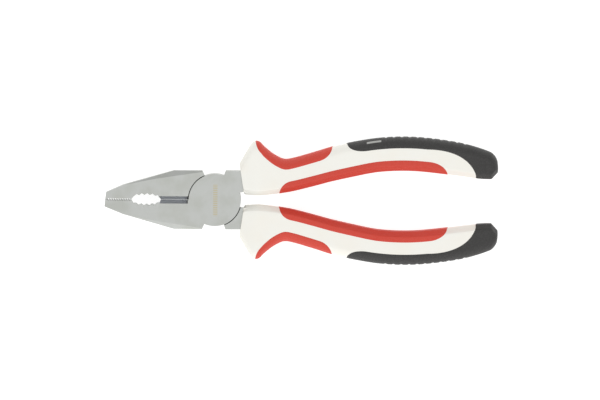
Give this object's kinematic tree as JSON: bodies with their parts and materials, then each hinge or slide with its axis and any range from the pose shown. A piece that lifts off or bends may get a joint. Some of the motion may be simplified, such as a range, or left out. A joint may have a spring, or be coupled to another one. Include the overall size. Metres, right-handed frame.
{
  "type": "combination pliers",
  "caption": "Hand pliers with a serrated nose, toothed pipe grip and side cutter, opening on a flush rivet between two soft-zone moulded grips.",
  "frame": {"origin": "where the rivet's axis meets the flat back face of the joint", "axes": "+X from the jaws to the handles, +Y towards the upper grip, +Z out of the front face along the rivet's axis"},
  "size_m": [0.1996, 0.065, 0.0182],
  "materials": {
    "forged_steel": "satin ground forged steel",
    "white_core": "fine matt moulded polypropylene",
    "red_pad": "matt thermoplastic rubber",
    "black_cover": "matt thermoplastic rubber with raised ribs along the back"
  },
  "bodies": {
    "front_half": {"front_arm": "forged_steel", "pivot_rivet": "forged_steel", "upper_grip_core": "white_core", "upper_thumb_pad": "red_pad", "upper_finger_pad": "red_pad", "upper_heel_cover": "black_cover"},
    "rear_half": {"rear_arm": "forged_steel", "lower_grip_core": "white_core", "lower_thumb_pad": "red_pad", "lower_finger_pad": "red_pad", "lower_heel_cover": "black_cover"}
  },
  "joints": [
    {"name": "plier_joint", "type": "hinge", "parent": "front_half", "child": "rear_half", "pos_m": [0, 0, 0.0055], "axis": [0, 0, -1], "range_deg": [0, 42]}
  ]
}
